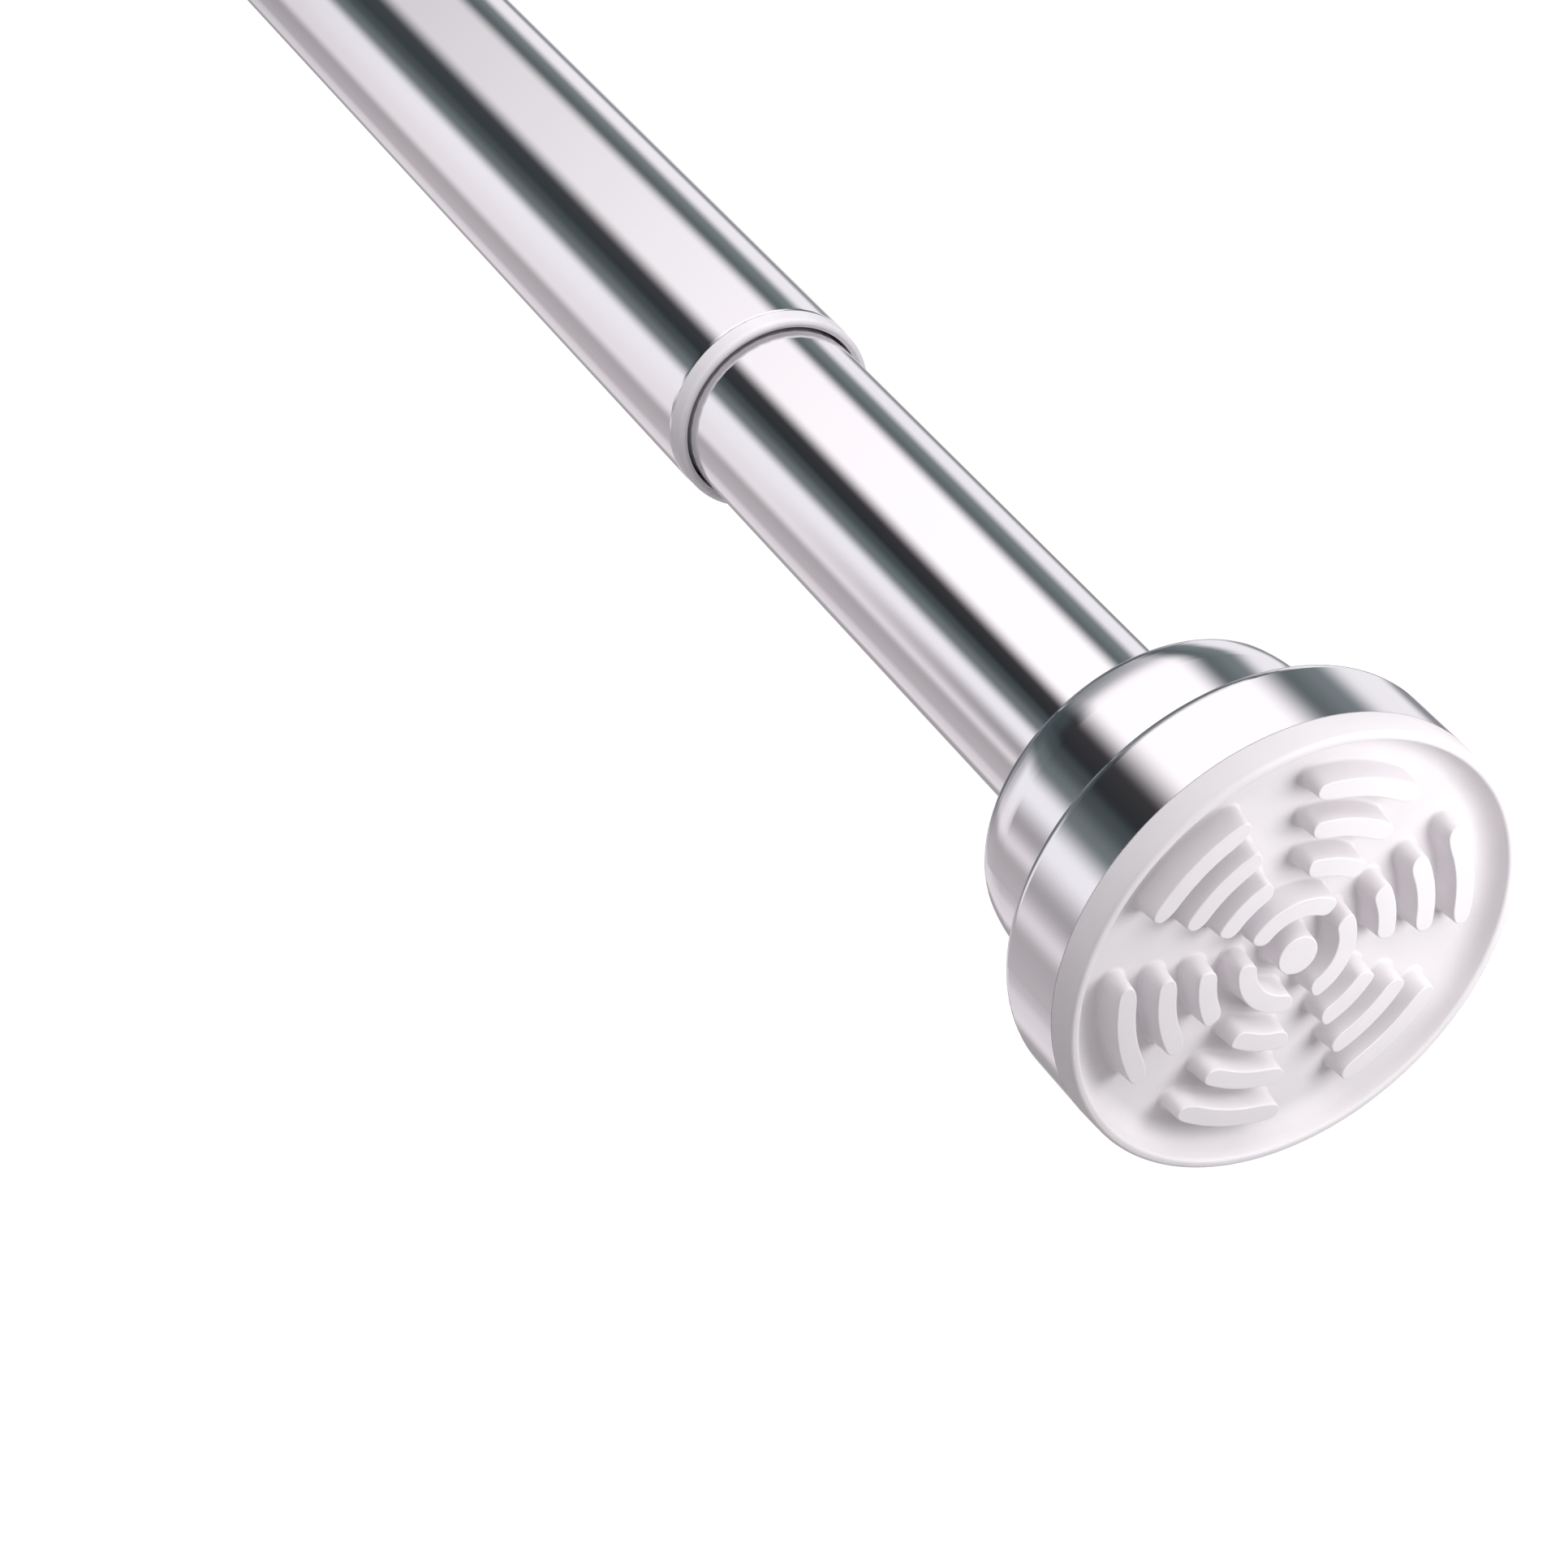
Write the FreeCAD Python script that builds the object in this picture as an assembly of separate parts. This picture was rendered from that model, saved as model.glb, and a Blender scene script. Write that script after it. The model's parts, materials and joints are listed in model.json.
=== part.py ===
import FreeCAD, Part
import math
import os

from FreeCAD import Vector

# Spring tension rod: two telescoping tubes between two capped rubber pads, wedged between walls.
# Millimetres. X runs along the rod from the outer tube's pad (x = 0) to the inner tube's pad,
# Z is up. Profiles are drawn as (x, radius) and turned about the X axis.

# Tubes
INNER_TUBE_DIAMETER = 22.2
INNER_TUBE_WALL = 0.5
OUTER_TUBE_WALL = 0.6
OUTER_TUBE_LENGTH = 454.0
INNER_TUBE_SHOWN = 81.0
SHUT_GAP = 1.0
TUBE_MOUTH_ROUND = 0.35
CRIMP_WIDTH = 2.4
CRIMP_DEPTH = 0.4
CRIMP_FROM_END = 7.0

# Clearances, all on the radius unless they say end
RUNNING_CLEARANCE = 0.08
SEAT_CLEARANCE = 0.05
END_CLEARANCE = 0.3
FREE_CLEARANCE = 0.35

# Guide collar in the outer tube's mouth
COLLAR_SLEEVE_WALL = 0.67
COLLAR_SLEEVE_LENGTH = 24.0
COLLAR_FLANGE_LENGTH = 2.3
COLLAR_FLANGE_STEP = 0.1
COLLAR_EDGE_ROUND = 0.6
COLLAR_BELL = 0.45
COLLAR_BELL_DEPTH = 0.25
COLLAR_LEAD_IN = 0.17
COLLAR_LEAD_IN_LENGTH = 2.0
COLLAR_SLOT_WIDTH = 2.0
COLLAR_SLOT_LENGTH = 16.0
COLLAR_SLOTS = 3

# Stepped end cap, from the tube outwards and from the pad along the rod
CAP_NECK_PROUD = 7.75
CAP_RIM_PROUD = 6.08
CAP_RIM_LENGTH = 9.3
CAP_RIM_ROUND = 1.6
CAP_SHOULDER_RISE = 2.4
CAP_ROOT_ROUND = 0.9
CAP_NECK_LENGTH = 13.7
CAP_NECK_CROWN = 0.7
CAP_CROWN_LENGTH = 3.2
CAP_CROWN_ROUND = 14.0
CAP_NECK_ROUND = 1.8
CAP_FRONT_CROWN = 1.0
CAP_MOUTH_GAP = 0.22
CAP_MOUTH_DEPTH = 1.0
CAP_MOUTH_ROUND = 0.3
CAP_WALL = 1.8
CAP_WEB = 2.0
CAP_RIBS = 6
CAP_RIB_THICKNESS = 1.4

# The outer cap's neck runs out in a long flare, the inner cap's in a short one
OUTER_CAP_FLARE = 1.75
OUTER_CAP_FLARE_LENGTH = 6.0
OUTER_CAP_FLARE_ROUND = 17.0
INNER_CAP_FLARE = 0.25
INNER_CAP_FLARE_LENGTH = 1.6
INNER_CAP_FLARE_ROUND = 3.0

# Rubber pad and its tread
PAD_RIM_THICKNESS = 3.5
PAD_DRAFT = 0.15
PAD_EDGE_ROUND = 0.45
PAD_CREST_WIDTH = 1.0
PAD_CREST_ROUND = 0.4
PAD_COVE_WIDTH = 0.6
PAD_COVE_ROUND = 2.4
PAD_SPIGOT_DEPTH = 3.0
TREAD_HEIGHT = 3.0
TREAD_DRAFT = 0.25
TREAD_BOSS_RADIUS = 2.3
TREAD_RING_RADIUS = 5.88
TREAD_RING_SPAN = 97.7
TREAD_RING_CORNERS = (9.0, 12.0)
TREAD_RING_ARCS = 3
TREAD_SECTORS = 6
TREAD_SECTOR_SPAN = 38.0
TREAD_BAR_CORNERS = (4.0, 8.0)
TREAD_ROWS = 3
TREAD_ROW_PITCH = 4.65
TREAD_BAR_WIDTH = 2.2
TREAD_BAR_TIP = 0.45
OUTER_TREAD_TURN = 81.0
INNER_TREAD_TURN = 81.0

# Ribbed plug, washer and screw that hold a cap on its tube
PLUG_FLANGE = 1.5
PLUG_LENGTH = 16.0
PLUG_CORE_RADIUS = 5.0
PLUG_RIBS = 8
PLUG_RIB_THICKNESS = 1.6
SCREW_RADIUS = 2.0
SCREW_LENGTH = 15.0
SCREW_HEAD_RADIUS = 4.0
SCREW_HEAD_HEIGHT = 2.6
SCREW_RECESS_WIDTH = 1.0
SCREW_RECESS_SPAN = 4.4
SCREW_RECESS_DEPTH = 1.5
WASHER_RADIUS = 5.5
WASHER_THICKNESS = 0.8

# Spindle, its guide in the inner tube's end, and the stop behind the guide
SPINDLE_FLATS = 6.0
GUIDE_FLANGE = 4.0
GUIDE_LENGTH = 18.0
STOP_WASHER_RADIUS = 8.0
STOP_WASHER_THICKNESS = 1.2
STOP_CLIP_RADIUS = 5.2
STOP_CLIP_THICKNESS = 0.9
STOP_CLIP_OPENING = 70.0
STOP_NECK_RADIUS = 2.3
SPINDLE_TAIL = 3.0

# Compression spring between the cam and the spindle guide
SPRING_MEAN_RADIUS = 7.0
SPRING_WIRE = 1.8
SPRING_LENGTH = 55.0
SPRING_TRAVEL = 20.0
SPRING_COILS = 10
THRUST_WASHER_RADIUS = 9.0
THRUST_WASHER_THICKNESS = 1.0

# Twist lock: an eccentric cam that turns in a split shoe
LOCK_SHUT_GAP = 7.0
CAM_OFFSET = 1.2
CAM_RADIUS = 6.8
CAM_FLANGE_RADIUS = 9.4
CAM_FLANGE = 3.0
CAM_TURN = 90.0
SHOE_LENGTH = 16.0
SHOE_SLOT_WIDTH = 2.6
SHOE_GROOVES = 28
SHOE_GROOVE_DEPTH = 0.5
RETAINER_RADIUS = 9.4
RETAINER_THICKNESS = 1.5
CAM_SCREW_RADIUS = 1.6
CAM_SCREW_LENGTH = 9.0
CAM_SCREW_HEAD_RADIUS = 3.4
CAM_SCREW_HEAD_HEIGHT = 2.4

# Radii that follow from the sizes above
inner_radius = INNER_TUBE_DIAMETER / 2
inner_bore = inner_radius - INNER_TUBE_WALL
collar_bore = inner_radius + RUNNING_CLEARANCE
outer_bore = collar_bore + COLLAR_SLEEVE_WALL + SEAT_CLEARANCE
outer_radius = outer_bore + OUTER_TUBE_WALL
neck_radius = outer_radius + CAP_NECK_PROUD
rim_radius = neck_radius + CAP_RIM_PROUD
spindle_corner = SPINDLE_FLATS / math.sqrt(3)

# Places along one end, measured from the pad's face
pad_back = PAD_RIM_THICKNESS + PAD_SPIGOT_DEPTH
screw_head_at = pad_back + END_CLEARANCE
washer_at = screw_head_at + SCREW_HEAD_HEIGHT
web_at = washer_at + WASHER_THICKNESS
socket_floor = web_at + CAP_WEB
tube_seat = socket_floor + PLUG_FLANGE
rim_edge = PAD_RIM_THICKNESS + CAP_RIM_LENGTH
neck_root = rim_edge + CAP_SHOULDER_RISE
neck_edge = neck_root + CAP_NECK_LENGTH
cap_front = neck_edge + CAP_FRONT_CROWN

# Places along the whole rod
tube_mouth = tube_seat + OUTER_TUBE_LENGTH
collar_front = tube_mouth + COLLAR_FLANGE_LENGTH
rod_length = collar_front + INNER_TUBE_SHOWN + cap_front

# Places of the lock, the spring and the inner tube's inner end. Shut, with its spring pressed in,
# the rod leaves SHUT_GAP before the collar and LOCK_SHUT_GAP behind the outer tube's plug.
plug_end = tube_seat + PLUG_LENGTH
shut_travel = INNER_TUBE_SHOWN - SHUT_GAP - SPRING_TRAVEL
cam_screw_at = plug_end + LOCK_SHUT_GAP + shut_travel
retainer_face = cam_screw_at + CAM_SCREW_HEAD_HEIGHT
retainer_back = retainer_face + RETAINER_THICKNESS
shoe_start = retainer_back + END_CLEARANCE
shoe_end = shoe_start + SHOE_LENGTH
cam_back = shoe_end + END_CLEARANCE + CAM_FLANGE
spring_start = cam_back + THRUST_WASHER_THICKNESS
guide_face = spring_start + SPRING_LENGTH
inner_tube_start = guide_face + GUIDE_FLANGE
guide_back = inner_tube_start + GUIDE_LENGTH
stop_clip_at = guide_back + STOP_WASHER_THICKNESS
spindle_end = stop_clip_at + STOP_CLIP_THICKNESS + SPINDLE_TAIL


def corner_arc(before, corner, after, radius):
    """Start, middle and end of the arc that rounds one corner of an outline."""
    to_before = (before - corner).normalize()
    to_after = (after - corner).normalize()
    half_angle = to_before.getAngle(to_after) / 2
    reach = radius / math.tan(half_angle)
    bisector = (to_before + to_after).normalize()
    middle = corner + bisector * (radius / math.sin(half_angle) - radius)
    return corner + to_before * reach, middle, corner + to_after * reach


def outline(corners):
    """Closed face in the XY plane from (x, y) corners, or (x, y, round) for a rounded one."""
    points = [Vector(corner[0], corner[1], 0) for corner in corners]
    edges = []
    starts = []
    ends = []
    for index, corner in enumerate(corners):
        if len(corner) == 2 or corner[2] <= 0:
            starts.append(points[index])
            ends.append(points[index])
            continue
        after = points[(index + 1) % len(points)]
        start, middle, end = corner_arc(points[index - 1], points[index], after, corner[2])
        edges.append(Part.Arc(start, middle, end).toShape())
        starts.append(start)
        ends.append(end)
    for index, end in enumerate(ends):
        start = starts[(index + 1) % len(points)]
        if end.distanceToPoint(start) > 1e-6:
            edges.append(Part.makeLine(end, start))
    return Part.Face(Part.Wire(Part.__sortEdges__(edges)))


def turned(corners):
    """Solid turned about the X axis from an (x, radius) outline."""
    return outline(corners).revolve(Vector(0, 0, 0), Vector(1, 0, 0), 360)


def rod(start, end, radius):
    return Part.makeCylinder(radius, end - start, Vector(start, 0, 0), Vector(1, 0, 0))


def ring(start, end, bore, radius):
    return rod(start, end, radius).cut(rod(start - 1, end + 1, bore))


def hex_bar(start, end, flats):
    """Hexagonal bar along X with two flats level."""
    corner = flats / math.sqrt(3)
    angles = [math.radians(60 * step) for step in range(7)]
    points = [Vector(start, corner * math.cos(angle), corner * math.sin(angle)) for angle in angles]
    return Part.Face(Part.makePolygon(points)).extrude(Vector(end - start, 0, 0))


def around(shape, count, start_angle=0.0):
    """Copies of a shape spread evenly about the X axis."""
    copies = []
    for step in range(count):
        copy = shape.copy()
        copy.rotate(Vector(0, 0, 0), Vector(1, 0, 0), start_angle + 360.0 * step / count)
        copies.append(copy)
    return copies


def radial_plate(start, end, low, high, thickness):
    """Flat plate that stands out from the X axis along Y."""
    return Part.makeBox(end - start, high - low, thickness, Vector(start, low, -thickness / 2))


def crimp(at, radius):
    """Corners of a rolled groove in a surface, in order along +X."""
    low = radius - CRIMP_DEPTH
    half = CRIMP_WIDTH / 2
    return [(at - half, radius, 0.3), (at - half / 2, low, 0.3),
            (at + half / 2, low, 0.3), (at + half, radius, 0.3)]


def tube(start, end, bore, radius, crimps, end_round):
    """Thin tube whose wall dips inwards at each crimp."""
    outside = [(start, radius)]
    inside = [(start, bore)]
    for at in crimps:
        outside += crimp(at, radius)
        inside += crimp(at, bore)
    outside += [(end, radius, end_round)]
    inside += [(end, bore)]
    return turned(outside + inside[::-1])


def outer_tube():
    crimps = [tube_seat + CRIMP_FROM_END]
    return tube(tube_seat, tube_mouth, outer_bore, outer_radius, crimps, TUBE_MOUTH_ROUND)


def inner_tube():
    outer_end = rod_length - tube_seat
    crimps = [inner_tube_start + CRIMP_FROM_END, outer_end - CRIMP_FROM_END]
    return tube(inner_tube_start, outer_end, inner_bore, inner_radius, crimps, 0)


def guide_collar():
    sleeve_start = tube_mouth - COLLAR_SLEEVE_LENGTH
    sleeve_radius = outer_bore - SEAT_CLEARANCE
    flange_radius = outer_radius - COLLAR_FLANGE_STEP
    body = turned([
        (sleeve_start, collar_bore),
        (sleeve_start, sleeve_radius),
        (tube_mouth, sleeve_radius),
        (tube_mouth, flange_radius),
        (collar_front, flange_radius, COLLAR_EDGE_ROUND),
        (collar_front, collar_bore + COLLAR_LEAD_IN + COLLAR_BELL),
        (collar_front - COLLAR_BELL_DEPTH, collar_bore + COLLAR_LEAD_IN),
        (collar_front - COLLAR_LEAD_IN_LENGTH, collar_bore)])
    slot_end = sleeve_start + COLLAR_SLOT_LENGTH
    slot = radial_plate(sleeve_start - 1, slot_end, 1, outer_radius, COLLAR_SLOT_WIDTH)
    return body.cut(around(slot, COLLAR_SLOTS, 30))


def cap_hollow(socket_radius, flare, flare_length, grow):
    """Space between the cap's socket and its outer walls; grow makes it reach into the walls."""
    low = socket_radius - grow
    high_neck = neck_radius - CAP_NECK_CROWN - CAP_WALL + grow
    high_root = neck_radius + flare - CAP_WALL + grow
    high_rim = rim_radius - CAP_WALL + grow
    front = neck_edge - CAP_WALL + grow
    return turned([
        (web_at, low),
        (front, low),
        (front, high_neck),
        (neck_root + flare_length, high_neck),
        (neck_root - CAP_WALL / 2 + grow, high_root),
        (rim_edge - CAP_WALL + grow, high_rim),
        (web_at, high_rim)])


def end_cap(tube_radius, flare, flare_length, flare_round):
    """Stepped cap: rim, sloping shoulder, flared neck with a crowned edge, and a ribbed tube socket."""
    socket_bore = tube_radius + SEAT_CLEARANCE
    socket_radius = socket_bore + CAP_WALL
    envelope = turned([
        (PAD_RIM_THICKNESS, 0),
        (PAD_RIM_THICKNESS, rim_radius),
        (rim_edge, rim_radius, CAP_RIM_ROUND),
        (neck_root, neck_radius + flare, CAP_ROOT_ROUND),
        (neck_root + flare_length, neck_radius, flare_round),
        (neck_edge - CAP_CROWN_LENGTH, neck_radius, CAP_CROWN_ROUND),
        (neck_edge, neck_radius - CAP_NECK_CROWN, CAP_NECK_ROUND),
        (cap_front, tube_radius + CAP_MOUTH_GAP, CAP_MOUTH_ROUND),
        (cap_front - CAP_MOUTH_DEPTH, socket_bore),
        (socket_floor, socket_bore),
        (socket_floor, 0)])
    pad_well = rod(PAD_RIM_THICKNESS - 1, web_at, rim_radius - CAP_WALL)
    screw_hole = rod(web_at - 1, socket_floor + 1, SCREW_RADIUS + FREE_CLEARANCE)
    hollow = cap_hollow(socket_radius, flare, flare_length, 0)
    shell = envelope.cut([pad_well, screw_hole, hollow])
    rib = radial_plate(web_at, cap_front, socket_bore, rim_radius, CAP_RIB_THICKNESS)
    rib_space = cap_hollow(socket_radius, flare, flare_length, CAP_WALL / 4)
    ribs = [plate.common(rib_space) for plate in around(rib, CAP_RIBS, 30)]
    return shell.fuse(ribs).removeSplitter()


def polar(x, radius, degrees):
    angle = math.radians(degrees)
    return Vector(x, radius * math.cos(angle), radius * math.sin(angle))


def bar_corner(x, radius, corner, half, tip):
    """Curve from a bar's long side, corner degrees before its end, round to the end's tip."""
    peak = radius / math.cos(math.radians(corner))
    curve = Part.BezierCurve()
    curve.setPoles([polar(x, radius, half - corner), polar(x, peak, half), polar(x, tip, half)])
    return curve.toShape()


def bar_wire(x, middle, span, corners, grow):
    """Footprint of one tread bar: a curved band with softly rounded ends."""
    high = middle + TREAD_BAR_WIDTH / 2 + grow
    low = middle - TREAD_BAR_WIDTH / 2 - grow
    tip = high - TREAD_BAR_TIP * (high - low)
    half = span / 2 + math.degrees(grow / middle)
    edges = []
    for radius, corner in zip((high, low), corners):
        side = half - corner
        edges.append(Part.Arc(polar(x, radius, -side), polar(x, radius, 0), polar(x, radius, side)).toShape())
        end = bar_corner(x, radius, corner, half, tip)
        edges += [end, end.mirror(Vector(0, 0, 0), Vector(0, 0, 1))]
    return Part.Wire(Part.__sortEdges__(edges))


def tread_bar(middle, span, corners):
    """Bar with drafted sides, from the recess floor up to the pad's face."""
    sunk = TREAD_HEIGHT + PAD_SPIGOT_DEPTH / 4
    draft = TREAD_DRAFT * sunk / TREAD_HEIGHT
    top = bar_wire(0, middle, span, corners, 0)
    foot = bar_wire(sunk, middle, span, corners, draft)
    return Part.makeLoft([foot, top], True, True)


def tread():
    """Centre boss, a broken ring round it, and sectors of concentric bars."""
    foot = TREAD_HEIGHT + PAD_SPIGOT_DEPTH / 4
    boss = Part.makeCone(TREAD_BOSS_RADIUS, TREAD_BOSS_RADIUS + TREAD_DRAFT, foot,
                         Vector(0, 0, 0), Vector(1, 0, 0))
    ring_arc = tread_bar(TREAD_RING_RADIUS, TREAD_RING_SPAN, TREAD_RING_CORNERS)
    pieces = [boss] + around(ring_arc, TREAD_RING_ARCS)
    for row in range(1, TREAD_ROWS + 1):
        bar = tread_bar(TREAD_RING_RADIUS + row * TREAD_ROW_PITCH, TREAD_SECTOR_SPAN, TREAD_BAR_CORNERS)
        pieces += around(bar, TREAD_SECTORS, 180.0 / TREAD_SECTORS)
    return pieces


def pad(tread_turn):
    """Soft pad: rounded rim, recessed floor with its tread, and a spigot that fills the cap."""
    face_radius = rim_radius - PAD_DRAFT
    crest = face_radius - PAD_CREST_WIDTH
    spigot = rim_radius - CAP_WALL - SEAT_CLEARANCE
    body = turned([
        (TREAD_HEIGHT, 0),
        (TREAD_HEIGHT, crest - PAD_COVE_WIDTH, PAD_COVE_ROUND),
        (0, crest, PAD_CREST_ROUND),
        (0, face_radius, PAD_EDGE_ROUND),
        (PAD_RIM_THICKNESS, rim_radius),
        (PAD_RIM_THICKNESS, spigot),
        (pad_back, spigot, 0.5),
        (pad_back, 0)])
    shape = body.fuse(tread())
    shape.rotate(Vector(0, 0, 0), Vector(1, 0, 0), tread_turn)
    return shape


def end_plug(tube_radius, tube_bore):
    """Plug pressed into a tube's end: flange, core, ribs notched for the crimp."""
    rib_radius = tube_bore - SEAT_CLEARANCE
    rib = radial_plate(tube_seat - PLUG_FLANGE / 2, plug_end, 0, rib_radius + 1, PLUG_RIB_THICKNESS)
    notch_at = tube_seat + CRIMP_FROM_END
    notch_half = CRIMP_WIDTH / 2 + SEAT_CLEARANCE
    notch = ring(notch_at - notch_half, notch_at + notch_half, rib_radius - CRIMP_DEPTH, tube_radius)
    ribs = [plate.common(rod(socket_floor, plug_end, rib_radius)) for plate in around(rib, PLUG_RIBS)]
    core = rod(socket_floor, plug_end, PLUG_CORE_RADIUS)
    flange = rod(socket_floor, tube_seat, tube_radius)
    pilot = rod(socket_floor - 1, plug_end + 1, SCREW_RADIUS + SEAT_CLEARANCE)
    return flange.fuse([core] + ribs).cut([notch, pilot]).removeSplitter()


def cross_recess(face_at, depth, span, width):
    """Two crossed slots in a screw head whose face looks towards -X."""
    slot = Part.makeBox(depth + 1, span, width, Vector(face_at - 1, -span / 2, -width / 2))
    return around(slot, 4)[:2]


def pan_screw(face_at, head_height, head_radius, radius, length):
    """Pan head screw that points towards +X."""
    under = face_at + head_height
    body = turned([
        (face_at, 0),
        (face_at, head_radius, head_height / 2),
        (under, head_radius),
        (under, radius),
        (under + length - radius, radius),
        (under + length, 0)])
    recess = cross_recess(face_at, SCREW_RECESS_DEPTH, SCREW_RECESS_SPAN, SCREW_RECESS_WIDTH)
    return body.cut(recess)


def end_screw():
    return pan_screw(screw_head_at, SCREW_HEAD_HEIGHT, SCREW_HEAD_RADIUS, SCREW_RADIUS, SCREW_LENGTH)


def end_washer():
    return ring(washer_at, web_at, SCREW_RADIUS + SEAT_CLEARANCE, WASHER_RADIUS)


def to_inner_end(shape):
    """Turn a piece of the outer tube's end round to the inner tube's end."""
    turned_round = shape.copy()
    turned_round.rotate(Vector(0, 0, 0), Vector(0, 0, 1), 180)
    turned_round.translate(Vector(rod_length, 0, 0))
    return turned_round


def spindle_guide():
    """Plug in the inner tube's inner end: a guide flange and a hexagonal hole for the spindle."""
    body = turned([
        (guide_face, 0),
        (guide_face, outer_bore - RUNNING_CLEARANCE, 0.5),
        (inner_tube_start, outer_bore - RUNNING_CLEARANCE),
        (inner_tube_start, inner_bore - SEAT_CLEARANCE),
        (guide_back, inner_bore - SEAT_CLEARANCE, 0.5),
        (guide_back, 0)])
    notch_at = inner_tube_start + CRIMP_FROM_END
    notch_half = CRIMP_WIDTH / 2 + SEAT_CLEARANCE
    notch = ring(notch_at - notch_half, notch_at + notch_half,
                 inner_bore - SEAT_CLEARANCE - CRIMP_DEPTH, inner_radius)
    hole = hex_bar(guide_face - 1, guide_back + 1, SPINDLE_FLATS + 2 * SEAT_CLEARANCE)
    return body.cut([notch, hole])


def spindle():
    """Hexagonal steel bar with a neck for the stop clip and a hole for the cam's screw."""
    bar = hex_bar(retainer_back, spindle_end, SPINDLE_FLATS)
    neck = ring(stop_clip_at, stop_clip_at + STOP_CLIP_THICKNESS, STOP_NECK_RADIUS, spindle_corner + 1)
    hole = rod(retainer_back - 1, retainer_back + CAM_SCREW_LENGTH, CAM_SCREW_RADIUS + SEAT_CLEARANCE)
    return bar.cut([neck, hole])


def lock_cam():
    """Eccentric drum and its back flange, moulded round the spindle's front end."""
    drum = rod(retainer_back, cam_back, CAM_RADIUS)
    drum.translate(Vector(0, CAM_OFFSET, 0))
    flange = rod(cam_back - CAM_FLANGE, cam_back, CAM_FLANGE_RADIUS)
    hole = hex_bar(retainer_back - 1, cam_back + 1, SPINDLE_FLATS)
    return drum.fuse(flange).cut(hole).removeSplitter()


def lock_shoe():
    """Split ring with a grooved outside and a bore in which the cam drum swings over."""
    half_turn = math.radians(CAM_TURN / 2)
    bore_radius = CAM_RADIUS + CAM_OFFSET * math.sin(half_turn) + SEAT_CLEARANCE
    shoe_radius = outer_bore - RUNNING_CLEARANCE
    bore = rod(shoe_start - 1, shoe_end + 1, bore_radius)
    bore_middle = CAM_OFFSET * math.cos(half_turn)
    bore.translate(Vector(0, bore_middle * math.cos(half_turn), bore_middle * math.sin(half_turn)))
    slot = radial_plate(shoe_start - 1, shoe_end + 1, 0, outer_radius, SHOE_SLOT_WIDTH)
    slot.rotate(Vector(0, 0, 0), Vector(1, 0, 0), CAM_TURN / 2)
    groove_face = Part.Face(Part.makePolygon([
        Vector(shoe_start - 1, shoe_radius - SHOE_GROOVE_DEPTH, 0),
        Vector(shoe_start - 1, shoe_radius + SHOE_GROOVE_DEPTH, SHOE_GROOVE_DEPTH),
        Vector(shoe_start - 1, shoe_radius + SHOE_GROOVE_DEPTH, -SHOE_GROOVE_DEPTH),
        Vector(shoe_start - 1, shoe_radius - SHOE_GROOVE_DEPTH, 0)]))
    groove = groove_face.extrude(Vector(SHOE_LENGTH + 2, 0, 0))
    grooves = around(groove, SHOE_GROOVES, CAM_TURN / 2 + 180.0 / SHOE_GROOVES)
    return rod(shoe_start, shoe_end, shoe_radius).cut([bore, slot] + grooves)


def shoe_retainer():
    return ring(retainer_face, retainer_back, CAM_SCREW_RADIUS + SEAT_CLEARANCE, RETAINER_RADIUS)


def cam_screw():
    return pan_screw(cam_screw_at, CAM_SCREW_HEAD_HEIGHT, CAM_SCREW_HEAD_RADIUS,
                     CAM_SCREW_RADIUS, CAM_SCREW_LENGTH)


def thrust_washer():
    return ring(cam_back, spring_start, spindle_corner + SEAT_CLEARANCE, THRUST_WASHER_RADIUS)


def compression_spring():
    """Coil spring with both ends ground flat."""
    run = SPRING_LENGTH + SPRING_WIRE
    path = Part.makeHelix(run / SPRING_COILS, run, SPRING_MEAN_RADIUS)
    wire_section = Part.Wire(Part.makeCircle(SPRING_WIRE / 2, Vector(SPRING_MEAN_RADIUS, 0, 0),
                                             Vector(0, 1, 0)))
    coil = Part.Wire(path).makePipeShell([wire_section], True, True)
    coil.translate(Vector(0, 0, -SPRING_WIRE / 2))
    coil.rotate(Vector(0, 0, 0), Vector(0, 1, 0), 90)
    coil.translate(Vector(spring_start, 0, 0))
    return coil.common(rod(spring_start, guide_face, SPRING_MEAN_RADIUS + SPRING_WIRE))


def stop_washer():
    return ring(guide_back, stop_clip_at, spindle_corner + SEAT_CLEARANCE, STOP_WASHER_RADIUS)


def stop_clip():
    """Open clip sprung onto the spindle's neck."""
    end = stop_clip_at + STOP_CLIP_THICKNESS
    clip = ring(stop_clip_at, end, STOP_NECK_RADIUS + SEAT_CLEARANCE, STOP_CLIP_RADIUS)
    reach = 2 * STOP_CLIP_RADIUS
    opening = Part.Face(Part.makePolygon([
        Vector(stop_clip_at - 1, 0, 0),
        polar(stop_clip_at - 1, reach, -STOP_CLIP_OPENING / 2),
        polar(stop_clip_at - 1, reach, STOP_CLIP_OPENING / 2),
        Vector(stop_clip_at - 1, 0, 0)])).extrude(Vector(STOP_CLIP_THICKNESS + 2, 0, 0))
    return clip.cut(opening)


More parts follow.
